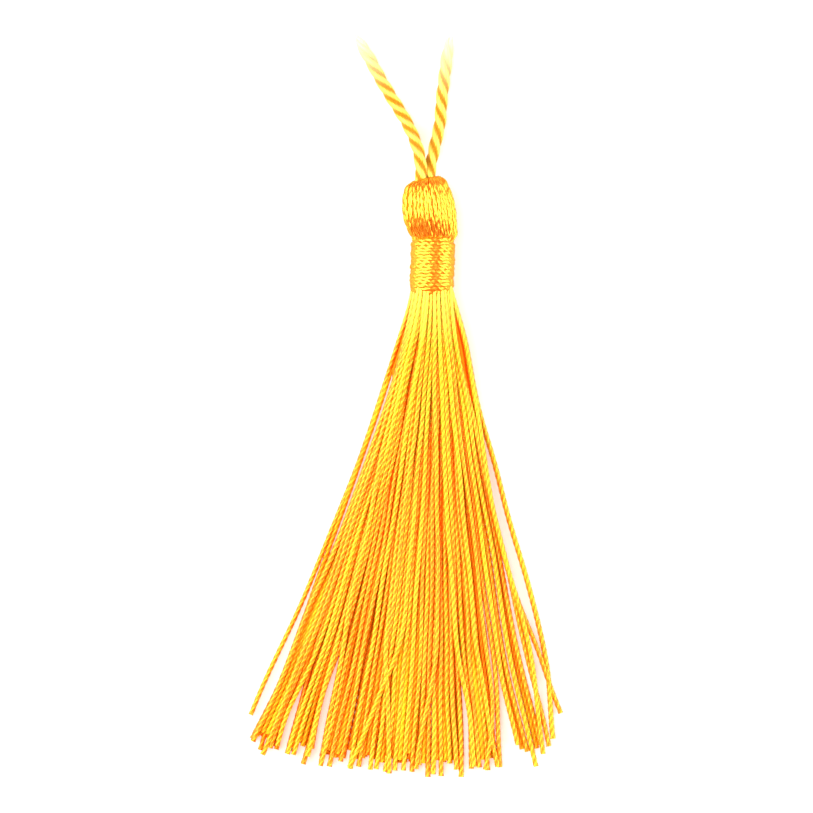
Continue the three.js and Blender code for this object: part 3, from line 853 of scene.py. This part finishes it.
def packThreads(threads):
    # steps down the skirt and lets the threads push one another aside at each station
    stations = np.arange(skirt["top"], skirt["end"], -skirt["station"])
    rank = np.array([t["rank"] for t in threads])
    scale = np.array([t["girth"] for t in threads])
    order = np.array([t["order"] for t in threads])
    lifted = np.array([t["lift"] for t in threads])
    # the threads outside the side gaps may lie closer to one another
    outer = np.abs(order) > packing["outerOrder"]
    closeness = packing["softness"] * (1 - packing["outerShare"] * np.outer(outer, outer))
    placed = []
    for y in stations:
        low, high = pileAt(y)
        radius = girthAt(y) * scale
        wantX = np.array([float(lineX(t, y)) for t in threads])
        first, last = wantX.min(), wantX.max()
        edge = np.clip(2 * (wantX - first) / (last - first) - 1, -1, 1)
        roundness = np.interp(y, *packing["rounding"])
        lift = (1 - np.abs(edge) ** roundness) ** (1 / roundness)
        height = np.clip(rank, 0, 1)
        free = (high - low) * lift
        if y > packing["roundFrom"]:
            wantZ = (low + high) / 2 + (height - 0.5) * free
        else:
            wantZ = low + radius + height * np.maximum(free - 2 * radius, 0)
        if placed:
            x, z = x + wantX - oldX, z + wantZ - oldZ
        else:
            x, z = wantX.copy(), wantZ.copy()
        oldX, oldZ = wantX, wantZ
        least, most = gapsAt(y, order)
        wantZ = wantZ + lifted
        reach = (radius[:, None] + radius[None, :]) * closeness
        for _ in range(packing["neckPasses"] if y > packing["neckFrom"] else packing["passes"]):
            gapX, gapZ = x[:, None] - x[None, :], z[:, None] - z[None, :]
            distance = np.sqrt(gapX ** 2 + gapZ ** 2) + 1e-6
            np.fill_diagonal(distance, np.inf)
            press = np.maximum(reach - distance, 0) / distance * packing["press"]
            x = x + (gapX * press).sum(1) * packing["give"] + (wantX - x) * packing["pullAcross"]
            z = z + (gapZ * press).sum(1) * packing["give"] + (wantZ - z) * packing["pullUp"]
            x = np.clip(x, least + radius, most - radius)
            z = np.maximum(z, radius)
        # how far each thread lies below its neighbours, which sets its painted shade
        near = np.abs(x[:, None] - x[None, :]) < packing["buriedBeside"]
        above = np.where(near, z[None, :], z[:, None]).max(1)
        buried = np.clip((above - z) / packing["buriedBelow"], 0, 1)
        placed.append(np.stack([x, np.full(len(x), y), z, buried], 1))
    return stations, np.array(placed)


def smoothed(values, passes):
    for _ in range(passes):
        inner = (values[:-2] + 2 * values[1:-1] + values[2:]) / 4
        values = np.concatenate([values[:1], inner, values[-1:]])
    return values


def threadStrand(thread, stations):
    tipY = thread["tip"][1]
    line = smoothed(thread["line"], skirt["smoothing"])
    keep = line[stations > tipY + 0.5 * skirt["station"]]
    tipX = float(np.interp(-tipY, -stations, line[:, 0]))
    tipZ = float(np.interp(-tipY, -stations, line[:, 2]))
    points = [tuple(p[:3]) for p in keep] + [(tipX, tipY, tipZ)]
    last = skirt["lastPoint"]
    points.insert(-1, tuple(np.array(points[-1]) * last + np.array(points[-2]) * (1 - last)))
    girth = [girthAt(p[1]) * thread["girth"] for p in points]
    girth[-1] *= skirt["endFlare"]
    # painted highlight near the neck, and painted shade lower down and on threads buried under
    # their neighbours
    depth = []
    for point in points:
        loose = min(1.0, max(0.0, (skirt["tightTo"] - point[1]) / skirt["loosenOver"]))
        buried = float(np.interp(-point[1], -stations, line[:, 3]))
        shade = skirt["neckShade"] * (1 - loose) + skirt["looseShade"] * loose
        depth.append(shade + buried * (skirt["buriedShade"] + skirt["buriedShadeLoose"] * loose))
    return {"points": points, "girth": girth, "depth": depth}


skirtCore = {
    "top": 26.0, "end": -18.5, "inset": 0.05, "taper": 12.0, "thinBy": 0.75, "narrow": 3.0,
    "thinnest": 0.05, "sides": 160, "ridge": 0.10, "ridgeSides": 4, "ridgeShades": (0.75, 1.1),
    "edge": 0.02, "height": ([0, 20], [0.88, 0.98]), "rounding": ([0, 24], [5.0, 2.0]),
    "beside": 0.28, "reachLeft": ([12.0, 14.5, 23.0, 24.5], [0.0, 1.0, 1.0, 0.8]),
    "reachRight": ([5.5, 8.5, 23.0, 24.5], [0.0, 1.0, 1.0, 0.8]),
    # the shade is painted shade along y, lighter near the neck and towards the lower end
    "shade": ([-18.5, -12.0, 22.0, 23.5], [0.35, 1.0, 1.0, 0.25]), "chance": 4,
}


def makeSkirtCore(stations, placed, threads):
    # the threads inside the skirt, made as one tube that the slits between the outer ones look into
    sheaf = [k for k, thread in enumerate(threads) if "pass" not in thread]
    chance = np.random.default_rng(skirtCore["chance"])
    sides, inset, edge = skirtCore["sides"], skirtCore["inset"], skirtCore["edge"]
    ridgeSides = skirtCore["ridgeSides"]
    ridges = np.repeat(chance.uniform(*skirtCore["ridgeShades"], sides // ridgeSides), ridgeSides)
    rings, shades = [], []
    for y, row in zip(stations, placed):
        if not skirtCore["end"] <= y <= skirtCore["top"]:
            continue
        left, right = np.quantile(row[sheaf, 0], [edge, 1 - edge])
        outerLeft = row[:, 0].min() + skirtCore["beside"]
        outerRight = row[:, 0].max() - skirtCore["beside"]
        left += (outerLeft - left) * np.interp(y, *skirtCore["reachLeft"])
        right += (outerRight - right) * np.interp(y, *skirtCore["reachRight"])
        low, high = np.quantile(row[sheaf, 2], [edge, np.interp(y, *skirtCore["height"])])
        thin = 1 - skirtCore["thinBy"] * max(0.0, 1 - (y - skirtCore["end"]) / skirtCore["taper"])
        halfWidth = (right - left) / 2 - inset - skirtCore["narrow"] * (1 - thin)
        halfDepth = ((high - low) / 2 - inset) * thin
        power = 2 / np.interp(y, *skirtCore["rounding"])
        ring = []
        for k in range(sides):
            c, s = math.cos(fullTurn * k / sides), math.sin(fullTurn * k / sides)
            groove = skirtCore["ridge"] * abs(2 * (k % ridgeSides) / ridgeSides - 1)
            reachX = halfWidth - groove
            reachZ = max(skirtCore["thinnest"], halfDepth - groove)
            x = (left + right) / 2 + reachX * math.copysign(abs(c) ** power, c)
            z = low + inset + halfDepth + reachZ * math.copysign(abs(s) ** power, s)
            ring.append((x, y, z))
        rings.append(ring)
        # painted shade for each point: random per ridge, scaled along y
        shades += list(ridges * np.interp(y, *skirtCore["shade"]))
    fasten(closedTube("skirt_core", rings, shades, shadedCoreSilk), "thread_hank")


def layersOf(threads):
    # the threads sorted from the floor up, in layers that are each made as one piece
    inner, outer = [], []
    for thread in sorted(threads, key=lambda thread: thread["rank"]):
        uncovered = thread["line"][:, 3].mean() < skirt["openShare"]
        # covered threads of low rank take the shaded copy of the silk, as painted shade
        layer = outer if uncovered or thread["rank"] >= skirt["upperRank"] else inner
        layer.append(thread)
    third, half = len(inner) // 3 + 1, len(outer) // 2 + 1
    return {
        "lowest": (inner[:third], shadedInnerSilk), "lower": (inner[third:2 * third], shadedInnerSilk),
        "middle": (inner[2 * third:], shadedInnerSilk), "upper": (outer[:half], skirtSilk),
        "uppermost": (outer[half:], skirtSilk),
    }


def makeSkirt():
    threads = skirtThreads()
    stations, placed = packThreads(threads)
    makeSkirtCore(stations, placed, threads)
    for k, thread in enumerate(threads):
        thread["line"] = placed[:, k]
    for seed, (name, (layer, material)) in enumerate(layersOf(threads).items()):
        strands = [threadStrand(thread, stations) for thread in layer]
        piece = strandObject("skirt_threads_" + name, strands)
        spin(piece, skirt, seed, material)
        fasten(piece, "thread_hank")


makeSkirt()
print("skirt is combed out")
